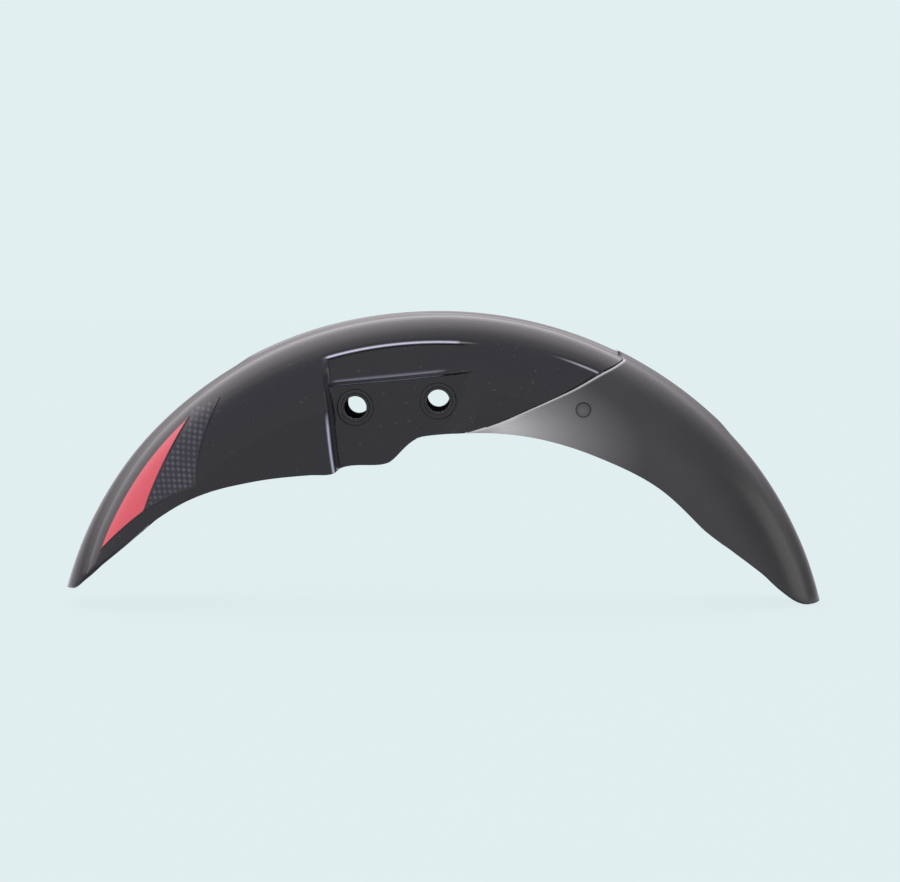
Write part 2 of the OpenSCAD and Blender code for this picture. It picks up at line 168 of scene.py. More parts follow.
def setFloor():
    size, height = floor["halfSize"], cadBox[0][2] - floor["below"]
    mesh = bpy.data.meshes.new("paleFloor")
    mesh.from_pydata([(-size, -size, height), (size, -size, height), (size, size, height),
                      (-size, size, height)], [], [(0, 1, 2, 3)])
    obj = bpy.data.objects.new("paleFloor", mesh)
    scene.collection.objects.link(obj)
    mat = bpy.data.materials.new("paleFloor")
    mat.use_nodes = True
    nodes, links = mat.node_tree.nodes, mat.node_tree.links
    nodes.clear()
    out, path, matt, glow, part, blend = (nodes.new("ShaderNode" + kind) for kind in (
        "OutputMaterial", "LightPath", "BsdfDiffuse", "Emission", "Math", "MixShader"))
    part.operation = "MULTIPLY"
    part.inputs[1].default_value = floor["glowShare"]
    setInputs(matt, {"Color": (*floor["matt"], 1)})
    setInputs(glow, {"Color": (*view["glow"], 1)})
    for source, sink in ((path.outputs["Is Camera Ray"], part.inputs[0]),
                         (part.outputs[0], blend.inputs["Fac"]), (matt.outputs[0], blend.inputs[1]),
                         (glow.outputs[0], blend.inputs[2]), (blend.outputs[0], out.inputs["Surface"])):
        links.new(source, sink)
    mesh.materials.append(mat)


scene.view_settings.view_transform = "Standard"
setCamera()
areaLamp(**softbox)
setWorld()
setFloor()
print("stage ready")

arch = {   # millimetres and degrees, about the wheel axle
    "axle": (-2.933, -205.399),
    "crownRadius": 325.0,
    "crownHeight": 60.0,
    "wall": 2.5,
    "rimBead": 1.3,
    "spineHeight": 1.0,
    "spineWidth": 14.0,
    "spineShoulder": 2.5,
    "spineFront": 31.0,
    "spineRear": 47.0,
    "spineFade": 3.0,
}
pocket = {
    "padHalfWidth": 52.5,
    "upperFold": 24.8,
    "lowerFold": 51.5,
    "foldRun": 2.4,
    "upperStep": 1.8,
    "lowerStep": 2.5,
    "grow": 1.2,
    "foldMid": -6.3,
    "foldHalf": 11.7,
    "foldFade": 24.0,
    "lip": 2.0,          # a groove and a ridge along the upper fold
    "lipWidth": 1.3,
    "lipAt": 1.7,
    "lowerLip": 0.9,
    "lowerLipWidth": 0.7,
    "lowerLipAt": 1.7,
    "groove": 0.4,       # a fine groove at the foot of the step
    "grooveWidth": 0.8,
    "grooveAhead": 1.2,
    "grooveFrom": 62.0,
    "grooveRun": 8,
}
crease = {"start": 16.5, "run": 4.0, "step": 0.8, "rise": 2.2, "lip": 1.4}
lap = {"height": 1.2, "gap": 0.3, "tongue": 2.2, "tongueLength": 8.5, "joggle": 0.14, "edgeRadius": 1.0}

crownLine = [[-72, -4.4], [-60, -1.4], [-46, 0.6], [-28, 0.4], [0, -1.8], [30, -0.8], [50, 0],
             [66, -1.6], [76, -3.6]]
halfWidth = [[-72, 60], [-55, 66], [-24, 67], [-10, 64], [4, 59.5], [15, 58.5], [36, 58.5],
             [56, 53.75], [76, 47]]
sideEdge = [[-53.2, 49.9], [-47.5, 62.7], [-38.6, 84], [-27.9, 105.3], [-23.3, 111.9],
            [-21.5, 110.6], [-12.5, 116.7], [-11.1, 116], [-9.8, 113.2], [-6.2, 102.9],
            [-4, 98.7], [1.3, 96.6], [15.8, 89.1], [31.6, 80.5], [43.9, 71.3], [53.7, 66.7],
            [58.1, 60.3], [62.5, 48.2]]
noseEdge = [[0, -72], [6, -71.2], [17.9, -67.7], [34.2, -62], [42.4, -58], [49.9, -53.2]]
tailEdge = [[0, 74.2], [9.3, 73.8], [17.7, 72.9], [31, 69.7], [48.2, 62.5]]
seamLine = [[0, 26.1], [0.8, 26.9], [2.8, 27.5], [8.3, 27], [23, 24.9], [40.4, 22.2],
            [55.8, 19], [68.9, 15.7], [81.1, 12], [90.5, 7.9], [95, 5]]
stepOuter = [[0, -17.6], [16, -18.1], [55, -19.5], [112, -22.9]]
stepInner = [[0, -16.2], [23, -16.9], [65, -18.8], [111, -21.5]]
blendStart = [[0, 2], [50, 2.9], [71, 3.3], [85, 2.5], [98, 0.8]]
blendEnd = [[0, 6.5], [50, 7.4], [71, 7.4], [85, 6], [98, 3.6]]


def curve(table, x):   # a smooth line through the rows of a table, without overshoot
    t = np.array(table, float)
    x = np.asarray(x, float)
    h = np.diff(t[:, 0])
    slope = np.diff(t[:, 1]) / h
    p, q = slope[:-1], slope[1:]
    same = p * q > 0
    inner = np.where(same, 2 * p * q / np.where(same, p + q, 1), 0)
    m = np.concatenate([slope[:1], inner, slope[-1:]])
    i = np.clip(np.searchsorted(t[:, 0], x, side="right") - 1, 0, len(h) - 1)
    u = np.clip((x - t[i, 0]) / h[i], 0, 1)
    v = 1 - u
    return ((1 + 2 * u) * v * v * t[i, 1] + u * v * v * h[i] * m[i]
            + (3 - 2 * u) * u * u * t[i + 1, 1] - v * u * u * h[i] * m[i + 1])


def ease(u):
    c = np.clip(u, 0, 1)
    return c * c * (3 - 2 * c)


def mix(p, q, w):
    return p + (q - p) * w


def crown(a):
    return arch["crownRadius"] + curve(crownLine, a)


def edgeDepth(a):
    return curve(sideEdge, a)


def plain(a, d, off):   # half width and radius of the plain section
    tall = arch["crownHeight"]
    f = np.arccos(np.clip(1 - np.asarray(d, float) / tall, 0, 1))
    b = curve(halfWidth, a)
    n = np.hypot(tall * np.sin(f), b * np.cos(f))
    return b * np.sin(f) + off * tall * np.sin(f) / n, crown(a) - d + off * b * np.cos(f) / n


def fold(d, at, grow):
    return ease((d + grow - at) / pocket["foldRun"] + 0.5)


def gate(a, d, grow):   # 1 inside the pocket, 0 outside it
    g = np.degrees(grow / (arch["crownRadius"] - d))
    inside = ease((a + g - curve(stepOuter, d)) / (curve(stepInner, d) - curve(stepOuter, d)))
    start, end = curve(blendStart, d), curve(blendEnd, d)
    return inside * ease((end + g - a) / (end - start))


def rowRaise(a, d):   # keeps the lower fold straight and lifts the rear crease
    up, low = pocket["upperFold"], pocket["lowerFold"]
    turn = a - pocket["foldMid"]
    bow = ((arch["crownRadius"] - low) * (1 / np.cos(np.radians(np.clip(turn, -40, 40))) - 1)
           * ease((pocket["foldHalf"] + 3 - np.abs(turn)) / 3)
           * ease((d - up) / (low - up)) * ease((low + pocket["foldFade"] - d) / pocket["foldFade"]))
    rise = (crease["rise"] * ease((a - crease["start"] + 6) / 6)
            * ease(d / up) * ease((low - d) / (low - up)))
    return bow + rise


def grooveAcross(a, d):   # how far behind the middle of the front groove, in its widths
    ahead = np.radians(a - curve(stepOuter, d)) * (arch["crownRadius"] - d) + pocket["grooveAhead"]
    return ahead / pocket["grooveWidth"]


def skin(a, d, side, off, grow, pocketed):   # a point of a skin, in millimetres in the row frame
    up, low = pocket["upperFold"], pocket["lowerFold"]
    use = 1.0 if pocketed else 0.0
    y, r = plain(a, d - use * rowRaise(a, d), off)
    shelf = mix(plain(a, up, 0)[0] - pocket["upperStep"], pocket["padHalfWidth"] + pocket["lowerStep"],
                (d - up) / (low - up))
    pull = (gate(a, d, grow) * fold(d, up, grow)
            * (mix(shelf, pocket["padHalfWidth"], fold(d, low, grow)) + off - y))
    drop = (crease["step"] * ease((a - crease["start"]) / crease["run"])
            * fold(d, up, grow) * ease((low + 10 - d) / (low - up)))
    t = (d + grow - up + pocket["lipAt"]) / pocket["lipWidth"]
    lip = ((gate(a, d, grow) * pocket["lip"]
            + crease["lip"] * ease((a - crease["start"]) / crease["run"])) * t * np.exp(-t * t))
    s = (d + grow - low + pocket["lowerLipAt"]) / pocket["lowerLipWidth"]
    lip = lip + gate(a, d, grow) * pocket["lowerLip"] * s * np.exp(-s * s)
    s = grooveAcross(a, d)
    cut = pocket["groove"] * ease((d - pocket["grooveFrom"]) / pocket["grooveRun"])
    lip = lip - cut * np.exp(-s * s) * (off > -1)
    y = y + use * (pull - drop + lip)
    half = arch["spineWidth"] / 2 + arch["spineShoulder"]
    r = r + (arch["spineHeight"] * ease((half - np.abs(y)) / arch["spineShoulder"])
             * ease((a + arch["spineFront"]) / arch["spineFade"])
             * ease((arch["spineRear"] - a) / arch["spineFade"]))
    t = np.radians(a)
    return np.stack([r * np.sin(t) + arch["axle"][0], side * y, r * np.cos(t) + arch["axle"][1]],
                    axis=-1)


def rail(k, d, grow):   # the lines across a moulding that its rings are spread between
    g = np.degrees(grow / (arch["crownRadius"] - d))
    lines = {0: (noseEdge, 0), 1: (stepOuter, -g), 2: (stepInner, -g), 3: (blendStart, g),
             4: (blendEnd, g), 5: (seamLine, -lap["joggle"] - 0.05), 6: (seamLine, -0.05),
             7: (seamLine, lap["tongueLength"]), 8: (seamLine, 0), 9: (tailEdge, 0)}
    return curve(lines[k][0], d) + lines[k][1]


def foot(k, grow):   # where a rail meets the side edge
    if k == 0:
        return sideEdge[0][0]
    if k == 9:
        return sideEdge[-1][0]
    a = (-23, -21, 1, 4, 5, 6, 13, 6)[k - 1]
    for turn in range(12):
        a = float(rail(k, edgeDepth(a), grow))
    return a


fineness = {   # how finely the mouldings are laid out, and the rounding of their edges
    "rimRadius": 0.6,
    "rimHeight": 5.0,
    "arcSteps": 4,
    "wallRows": 9,
    "spineRows": 7,
    "crownHalfWidth": 58.5,
    "crownFrom": 13,         # degrees round the crown's section
}


def crownRows(last, count):   # depths over the spine and round the crown
    tall = arch["crownHeight"]
    spine = np.linspace(0, arch["spineWidth"] / 2 + arch["spineShoulder"], fineness["spineRows"])
    arcs = tall * (1 - np.cos(np.radians(np.linspace(fineness["crownFrom"], last, count))))
    return np.concatenate([tall * (1 - np.sqrt(1 - (spine / fineness["crownHalfWidth"]) ** 2)), arcs])


def sectionRows(full, depth):   # depths down one side, with the rounded rim at the end
    g = min(1, 0.8 * depth / full[-1])
    rim = depth - min(fineness["rimHeight"], 0.1 * depth)
    n, r = fineness["wallRows"], fineness["rimRadius"]
    body = np.concatenate([full * g, mix(full[-1] * g, rim, np.arange(1, n + 1) / n),
                           mix(rim, depth - r, np.array([0.5]))])
    theta = np.radians(np.linspace(0, 90, fineness["arcSteps"] + 1))
    rows = np.concatenate([body, depth - r + r * np.sin(theta)])
    bead = np.clip((rows - rim) / (depth - rim), 0, 1)
    back = np.concatenate([np.zeros(len(body)), r * (1 - np.cos(theta))])
    return rows, bead, back


def ringLoop(ring, fullOuter, fullInner):   # one closed section of a moulding
    k, w, lift = ring["rail"], ring["share"], ring.get("lift", 0)
    squeeze = ring.get("squeeze", 0)
    parts = []
    for inner in (False, True):
        grow = pocket["grow"] if inner else 0.0
        full = fullInner if inner else fullOuter
        a0, a1 = foot(k, grow), foot(min(k + 1, 9), grow)
        rows, bead, back = sectionRows(full, float(edgeDepth(mix(a0, a1, w))) - lift)
        start = sectionRows(full, float(edgeDepth(a0)) - lift)[0]
        end = sectionRows(full, float(edgeDepth(a1)) - lift)[0]
        a = mix(rail(k, start, grow), rail(min(k + 1, 9), end, grow), w) + ring.get("shift", 0)
        if inner:
            thick = np.maximum(bead, ring.get("endBead", 0)) * arch["rimBead"] * ring.get("bead", 1)
            off = ring["inner"] - thick + np.maximum(back, squeeze)
        else:
            off = ring["outer"] - np.maximum(back, squeeze)
        rows = np.minimum(rows, rows[-1] - squeeze)
        parts.append([v[::-1] if inner else v for v in (a, rows, off, np.full(len(a), grow))])
    a, d, off, grow = (np.concatenate(pair) for pair in zip(*parts))
    right = skin(a, d, 1, off, grow, k < 6)
    left = skin(a, d, -1, off, grow, k < 6)
    return np.concatenate([right, left[-2:0:-1]]), len(a)


def finishMesh(name, points, faces):   # merges doubles, turns the faces outward
    mesh = bpy.data.meshes.new(name)
    mesh.from_pydata([tuple(p) for p in points], [], faces)
    work = bmesh.new()
    work.from_mesh(mesh)
    bmesh.ops.remove_doubles(work, verts=work.verts, dist=1e-7)
    bmesh.ops.recalc_face_normals(work, faces=work.faces)
    work.to_mesh(mesh)
    work.free()
    obj = bpy.data.objects.new(name, mesh)
    scene.collection.objects.link(obj)
    return obj


def shellSolid(name, rings, fullOuter, fullInner):
    loops = [ringLoop(r, fullOuter, fullInner) for r in rings]
    half, size = loops[0][1], len(loops[0][0])
    points = np.concatenate([loop for loop, rows in loops]) * mm
    faces = []
    for i in range(len(loops) - 1):
        p, q = i * size, (i + 1) * size
        faces += [(p + j, p + (j + 1) % size, q + (j + 1) % size, q + j) for j in range(size)]
    for base in (0, (len(loops) - 1) * size):   # close the two ends
        for j in range(half // 2 - 1):
            m = half - 1 - j
            faces.append((base + j, base + j + 1, base + m - 1, base + m))
            faces.append(tuple(base + (size - v) % size for v in (j, j + 1, m - 1, m)))
    return finishMesh(name, points, faces)


def lathe(name, profile, places, segments=72, start=0.0):   # solids of revolution at several places
    points, faces, n = [], [], len(profile)
    for place in places:
        base = len(points)
        for j in range(segments):
            t = 2 * math.pi * (j + start) / segments
            points += [(place @ Vector((r * math.cos(t), r * math.sin(t), z))) * mm
                       for r, z in profile]
        for j in range(segments):
            p, q = base + j * n, base + (j + 1) % segments * n
            faces += [(p + i, q + i, q + i + 1, p + i + 1) for i in range(n - 1)]
    return finishMesh(name, points, faces)


def combine(obj, other, how):   # a boolean, applied
    mod = obj.modifiers.new(how, "BOOLEAN")
    mod.operation = how
    mod.solver = "EXACT"
    mod.object = other
    graph = bpy.context.evaluated_depsgraph_get()
    mesh = bpy.data.meshes.new_from_object(obj.evaluated_get(graph))
    obj.modifiers.remove(mod)
    obj.data = mesh
    bpy.data.objects.remove(other)


def smooth(obj, angle=32):
    obj.data.shade_smooth()
    obj.data.set_sharp_from_angle(angle=math.radians(angle))


def onSkin(a, d, side):   # a place on the plain skin with +Z along its outward normal
    y, r = plain(a, d, 0)
    f = math.acos(max(0, 1 - d / arch["crownHeight"]))
    tilt = side * math.atan2(arch["crownHeight"] * math.sin(f),
                             float(curve(halfWidth, a)) * math.cos(f))
    t = math.radians(a)
    spot = Vector((float(r) * math.sin(t) + arch["axle"][0], side * float(y),
                   float(r) * math.cos(t) + arch["axle"][1]))
    return Matrix.Translation(spot) @ Matrix.Rotation(t, 4, "Y") @ Matrix.Rotation(-tilt, 4, "X")


joint = {   # the hidden screw joints under the lap
    "screwBack": 5.2,
    "screwDepth": 52.6,
    "padDiameter": 18.0,
    "padHeight": 3.5,
    "spigotDiameter": 10.5,
    "spigotGap": 0.5,
    "pilotDiameter": 4.4,
}
tongueTop = -(arch["wall"] + lap["gap"] - lap["height"])
tongueUnder = tongueTop - lap["tongue"]
seatZ = tongueUnder - joint["padHeight"]
screwSpots = [(float(curve(seamLine, d)) + joint["screwBack"], d, side)
              for d, side in ((joint["screwDepth"], -1), (0.0, 1), (joint["screwDepth"], 1))]
screwPlaces = [onSkin(*spot) for spot in screwSpots]

forkHoles = {
    "diameter": 18.0,
    "gap": 66.5,
    "tilt": 4.5,
    "angle": 7.8,
    "drop": 72.2,
    "bossDiameter": 29.0,
    "bossHeight": 1.2,
    "seatDiameter": 23.0,
    "seatDepth": 0.8,
}


def forkPlaces():
    t, lean = math.radians(forkHoles["angle"]), math.radians(forkHoles["tilt"])
    r = arch["crownRadius"] - forkHoles["drop"]
    places = []
    for side in (-1, 1):
        for end in (-0.5, 0.5):
            spot = Vector((-r * math.sin(t) + end * forkHoles["gap"] * math.cos(lean)
                           + arch["axle"][0], 0,
                           r * math.cos(t) + end * forkHoles["gap"] * math.sin(lean)
                           + arch["axle"][1]))
            places.append(Matrix.Translation(spot) @ Matrix.Rotation(-side * math.pi / 2, 4, "X"))
    return places


def spread(count, first=0.0, last=1.0):   # shares from the first on, short of the last
    return np.linspace(first, last, count + 1)[:-1]


def endRings(base, sign, r=fineness["rimRadius"]):   # rounds the free end of a moulding
    rings = []
    for theta in np.radians(np.linspace(90, 0, fineness["arcSteps"] + 1)):
        turn = math.degrees(r * (1 - math.sin(theta)) / arch["crownRadius"])
        rings.append({**base, "shift": sign * turn, "squeeze": r * (1 - math.cos(theta)), "endBead": 1})
    return rings if sign > 0 else rings[::-1]


def polar(mesh):   # turn and depth of every point, and the points themselves
    place = np.array([v.co for v in mesh.vertices]) / mm - [arch["axle"][0], 0, arch["axle"][1]]
    a = np.degrees(np.arctan2(place[:, 0], place[:, 2]))
    r = np.hypot(place[:, 0], place[:, 2])
    return a, r, crown(a) - r, place


def mark(mesh, marks):
    for name, values in marks.items():
        mesh.attributes.new(name, "FLOAT", "POINT").data.foreach_set("value", values.astype(np.float32))


foldHighlights = {   # painted highlight lines: shares of the painted highlight tone along each edge, half widths, and where it starts and ends
    "fold": 1.0,
    "foldSpread": 0.78,
    "foldStart": -17.8,
    "foldStartRun": 0.6,
    "foldEnd": 3.1,
    "foldEndRun": 0.5,
    "crease": 0.45,
    "creaseBehind": 2,
    "lower": 0.32,
    "lowerLines": (0.0, 3.2),
    "lowerSpread": 0.4,
    "lowerEnd": 1.4,
    "lowerEndRun": 2,
    "groove": 1.0,
    "grooveBelow": 4,
    "riser": 0.07,
    "riserFrom": 20.0,
    "riserRun": 6,
}


def markShell(obj):   # paints highlight lines along the folds' edges, the crease and the groove, and lightens the step's riser
    mesh = obj.data
    a, r, d, place = polar(mesh)
    for turn in range(3):
        d = crown(a) - r + rowRaise(a, d)
    outward = np.array([v.normal.y for v in mesh.vertices]) * np.sign(place[:, 1]) > 0.1
    up, low = pocket["upperFold"], pocket["lowerFold"]
    along = gate(a, d, 0) * ease((a - foldHighlights["foldStart"]) / foldHighlights["foldStartRun"])
    rear = foldHighlights["crease"] * ease((a - crease["start"] - foldHighlights["creaseBehind"]) / crease["run"])
    line = np.exp(-((d - up + pocket["lipAt"]) / foldHighlights["foldSpread"]) ** 2)
    front = foldHighlights["fold"] * along * ease((foldHighlights["foldEnd"] - a) / foldHighlights["foldEndRun"])
    highlight = line * np.maximum(front, rear)
    for at in foldHighlights["lowerLines"]:
        line = foldHighlights["lower"] * np.exp(-((d - low + at) / foldHighlights["lowerSpread"]) ** 2)
        highlight = np.maximum(highlight, line * along * ease((foldHighlights["lowerEnd"] - a) / foldHighlights["lowerEndRun"]))
    s = grooveAcross(a, d)
    below = d - pocket["grooveFrom"] - foldHighlights["grooveBelow"]
    highlight = np.maximum(highlight, foldHighlights["groove"] * np.exp(-s * s) * ease(below / pocket["grooveRun"]))
    # painted light: a faint band lightens the step's riser, which would lie in shade
    across = ease((a - curve(stepOuter, d)) / (curve(stepInner, d) - curve(stepOuter, d)))
    riser = foldHighlights["riser"] * 4 * across * (1 - across) * ease((d - foldHighlights["riserFrom"]) / foldHighlights["riserRun"])
    highlight = np.maximum(highlight, riser)
    mark(mesh, {"paintedFoldHighlight": highlight * outward})


def makeFrontShell():
    up, low, run = pocket["upperFold"], pocket["lowerFold"], pocket["foldRun"]
    steps = np.linspace(-0.5, 0.5, 9) * run
    lip = np.linspace(-5.0, -1.45, 14)
    lowerLip = np.linspace(-3.3, -1.5, 7)

    def full(grow):
        return np.concatenate([crownRows(43.5, 11), up + lip - grow, up + steps - grow,
                               mix(up, low, np.array([0.2, 0.4, 0.6, 0.8])),
                               low + lowerLip - grow, low + steps - grow])
    wall = arch["wall"]
    shell = {"outer": 0, "inner": -wall}
    tongue = {"outer": tongueTop, "inner": tongueUnder, "lift": fineness["rimHeight"] + 1.5, "bead": 0}
    rings = endRings({"rail": 0, "share": 0, **shell}, 1)
    rings += [{"rail": 0, "share": w, **shell} for w in spread(52, 0.025, 0.88)]
    rings += [{"rail": 0, "share": w, **shell} for w in spread(22, 0.88, 1)]
    for k, count in ((1, 9), (2, 24), (3, 12), (4, 16)):
        rings += [{"rail": k, "share": w, **shell} for w in spread(count)]
    rings.append({"rail": 5, "share": 0, **shell})
    rings.append({"rail": 5, "share": 0.12, "squeeze": 0.2, **shell})
    rings += [{"rail": 6, "share": w, **tongue} for w in (0, 0.2, 0.4, 0.6, 0.8, 1)]
    obj = shellSolid("frontShell", rings, full(0), full(pocket["grow"]))
    pad, rise = pocket["padHalfWidth"], forkHoles["bossHeight"]
    radius = forkHoles["bossDiameter"] / 2
    arc = [(radius - 0.9 * (1 - math.cos(t)), pad + rise - 0.9 + 0.9 * math.sin(t))
           for t in np.radians((0, 22, 45, 67, 90))]
    boss = lathe("boss", [(0, pad - wall / 2), (radius + 0.3, pad - wall / 2), (radius + 0.3, pad - 0.2)]
                 + arc + [(0, pad + rise)], forkPlaces())
    combine(obj, boss, "UNION")
    dish, bottom = forkHoles["seatDiameter"] / 2, pad + rise - forkHoles["seatDepth"]
    seat = lathe("seat", [(0, bottom), (dish - 0.9, bottom), (dish - 0.35, bottom + 0.15),
                          (dish - 0.05, bottom + 0.5), (dish + 0.25, pad + rise - 0.05),
                          (dish + 0.8, pad + rise + 0.3), (0, pad + rise + 0.3)], forkPlaces())
    combine(obj, seat, "DIFFERENCE")
    hole = forkHoles["diameter"] / 2
    bore = lathe("bore", [(0, pad - wall - 1), (hole + 0.9, pad - wall - 1), (hole + 0.1, pad - wall + 0.25),
                          (hole, pad - wall + 0.5), (hole, bottom - 0.5), (hole + 0.12, bottom - 0.2),
                          (hole + 0.45, bottom + 0.02), (hole + 1.2, bottom + 0.3),
                          (0, bottom + 0.3)], forkPlaces())
    combine(obj, bore, "DIFFERENCE")
    half = joint["padDiameter"] / 2
    pads = lathe("pads", [(0, seatZ), (half - 0.5, seatZ), (half - 0.15, seatZ + 0.15), (half, seatZ + 0.5),
                          (half, tongueTop - 0.85), (0, tongueTop - 0.85)], screwPlaces)
    combine(obj, pads, "UNION")
    half = joint["spigotDiameter"] / 2 + joint["spigotGap"]
    holes = lathe("holes", [(0, seatZ - 0.5), (half, seatZ - 0.5), (half, 0), (0, 0)], screwPlaces)
    combine(obj, holes, "DIFFERENCE")
    smooth(obj)
    markShell(obj)
    return obj


paintedLight = {   # on the extension: a painted highlight along the front edge, a painted pool of light behind its lower end, painted shade round each dimple
    "dimpleShadeAt": 5.7,
    "dimpleShadeSpread": 0.6,
    "edgeFrom": 1.1,
    "edgeTo": 2.2,
    "lowerWider": 0.7,   # how much wider the painted edge highlight is at its lower end
    "lowerFrom": 68,
    "lowerRun": 12,
    "litPatchAt": (12.4, 87.0),   # degrees and depth
    "litPatchTurn": 16.6,
    "litPatchLong": 62.0,
    "litPatchWide": 32.0,
    "litPatchEnd": 0.15,
}


def markExtension(obj):
    a, r, d, place = polar(obj.data)
    behind = np.radians(a - curve(seamLine, np.clip(d, 0, 95))) * r
    # painted light: a pale patch behind the lower end stands in for a pool of light
    turn, depth = paintedLight["litPatchAt"]
    spot = np.radians(turn)
    reach = arch["crownRadius"] - depth
    x, z = place[:, 0] - reach * np.sin(spot), place[:, 2] - reach * np.cos(spot)
    lean = math.radians(paintedLight["litPatchTurn"])
    away = np.hypot((x * math.cos(lean) - z * math.sin(lean)) / paintedLight["litPatchLong"],
                    (x * math.sin(lean) + z * math.cos(lean)) / paintedLight["litPatchWide"])
    paintedDimpleShade = np.zeros(len(a))   # painted shade: darker round the wall of each dimple
    for k in (0, 2):
        centre, axis = (np.array(v) for v in (screwPlaces[k].translation, screwPlaces[k].col[2][:3]))
        to = place + [arch["axle"][0], 0, arch["axle"][1]] - centre
        height = to @ axis
        radius = np.sqrt(np.maximum((to ** 2).sum(1) - height ** 2, 0))
        paintedDimpleShade = np.maximum(paintedDimpleShade, np.exp(-((radius - paintedLight["dimpleShadeAt"]) / paintedLight["dimpleShadeSpread"]) ** 2)
                           * (height > 0))
    # painted highlight: a pale band along the front edge, where its rounded rim would catch the light
    behind = behind / (1 + paintedLight["lowerWider"] * ease((d - paintedLight["lowerFrom"]) / paintedLight["lowerRun"]))
    wearAndEdgeHighlight = 1 - ease((behind - paintedLight["edgeFrom"]) / (paintedLight["edgeTo"] - paintedLight["edgeFrom"]))
    mark(obj.data, {"paintedDimpleShade": paintedDimpleShade, "paintedEdgeHighlight": wearAndEdgeHighlight,
                    "paintedLitPatch": np.clip((np.exp(-away) - paintedLight["litPatchEnd"]) / (1 - paintedLight["litPatchEnd"]), 0, 1)})


def makeRearExtension():
    full = crownRows(86, 22)
    top, wall = lap["height"], arch["wall"]
    shell = {"outer": top, "inner": top - wall}
    rings = [dict(ring, endBead=0)
             for ring in endRings({"rail": 8, "share": 0, **shell}, 1, lap["edgeRadius"])]
    rings += [{"rail": 8, "share": w, **shell} for w in spread(70, 0.012, 0.985)]
    rings += endRings({"rail": 8, "share": 1, **shell}, -1)
    obj = shellSolid("rearExtension", rings, full, full)
    half, sunk = joint["spigotDiameter"] / 2, 0.3
    low = seatZ + lap["gap"]
    spigots = lathe("spigots", [(0, low), (half - 0.3, low), (half, low + 0.3), (half, sunk), (0, sunk)],
                    screwPlaces)
    combine(obj, spigots, "UNION")
    sides = [screwPlaces[0], screwPlaces[2]]
    ring = lathe("ring", [(0, 0), (7.8, 0), (7.8, top - 0.1), (7.55, top + 0.12), (7.15, top + 0.27),
                          (6.75, top + 0.3), (0, top + 0.3)], sides)
    combine(obj, ring, "UNION")
    bottom = top - 0.7
    dimple = lathe("dimple", [(0, bottom), (5.1, bottom), (5.6, bottom + 0.12), (5.85, bottom + 0.4),
                              (6.05, top + 0.1), (6.3, top + 0.25), (6.8, top + 0.4), (0, top + 0.4)],
                   sides, start=0.37)
    combine(obj, dimple, "DIFFERENCE")
    pilots = lathe("pilots", [(0, low - 0.5), (joint["pilotDiameter"] / 2, low - 0.5),
                              (joint["pilotDiameter"] / 2, top - 1.9), (0, top - 1.9)], screwPlaces)
    combine(obj, pilots, "DIFFERENCE")
    smooth(obj)
    markExtension(obj)
    return obj


film = {
    "gap": 0.15,
    "thickness": 0.26,
    "flashRows": (56, 16),
    "weaveRows": (48, 24),
    "strip": 0.6,
    "flashTop": (-40.2, 12.5),
    "flashToe": (-64.1, 19.7),
    "flashHeel": (-54.9, 36.7),
    "flashBend": (-47.5, 26.0),
    "flashPoint": 0.4,
    "weavePeak": (-39.3, 7.5),
    "weaveTop": (-34.5, 15.0),
    "weaveBend": (-42.6, 42.0),
    "weaveHeel": (-46.1, 57.1),
}


def makeFilm(name, side, frontEdge, rearEdge, rows, cols):
    u = np.linspace(0, 1, rows + 1)
    v = np.linspace(0, 1, cols + 1)
    front = np.array(frontEdge, float)
    rear = np.array(rearEdge, float)
    f = [curve(front[:, [0, i]], u)[:, None] for i in (1, 2)]
    r = [curve(rear[:, [0, i]], u)[:, None] for i in (1, 2)]
    a, d = (mix(f[i], r[i], v[None, :]) for i in (0, 1))
    top = skin(a, d, side, film["gap"] + film["thickness"], 0, False) * mm
    low = skin(a, d, side, film["gap"], 0, False) * mm
    n, m = rows + 1, cols + 1
    points = np.concatenate([top.reshape(-1, 3), low.reshape(-1, 3)])
    faces = []
    for base in (0, n * m):
        faces += [(base + i * m + j, base + i * m + j + 1, base + (i + 1) * m + j + 1,
                   base + (i + 1) * m + j) for i in range(rows) for j in range(cols)]
    rim = ([i * m for i in range(rows)] + [rows * m + j for j in range(cols)]
           + [i * m + cols for i in range(rows, 0, -1)] + [j for j in range(cols, 0, -1)])
    for p, q in zip(rim, rim[1:] + rim[:1]):
        faces.append((p, q, q + n * m, p + n * m))
    obj = finishMesh(name, points, faces)
    mesh = obj.data
    flat = np.stack([arch["crownRadius"] * np.radians(a), d], -1).reshape(-1, 2)
    outline = np.array([flat[p] for p in rim])
    seg = np.roll(outline, -1, axis=0) - outline
    toPoint = flat[:, None, :] - outline[None, :, :]
    t = np.clip((toPoint * seg).sum(-1) / np.maximum((seg ** 2).sum(-1), 1e-9), 0, 1)
    inward = np.sqrt(((toPoint - t[..., None] * seg) ** 2).sum(-1)).min(1)
    uv = mesh.uv_layers.new(name="filmMillimetres")
    edge = mesh.attributes.new("inFromEdge", "FLOAT", "POINT")
    for vert in mesh.vertices:
        edge.data[vert.index].value = float(inward[vert.index % (n * m)])
    for loop in mesh.loops:
        uv.data[loop.index].uv = flat[loop.vertex_index % (n * m)]
    smooth(obj, 50)
    return obj


def makeFlash(name, side):
    top, toe, heel = film["flashTop"], film["flashToe"], film["flashHeel"]
    return makeFilm(name, side, [[0, *top], [1, *toe]],
                    [[0, top[0] + film["flashPoint"], top[1]], [0.5, *film["flashBend"]], [1, *heel]],
                    *film["flashRows"])


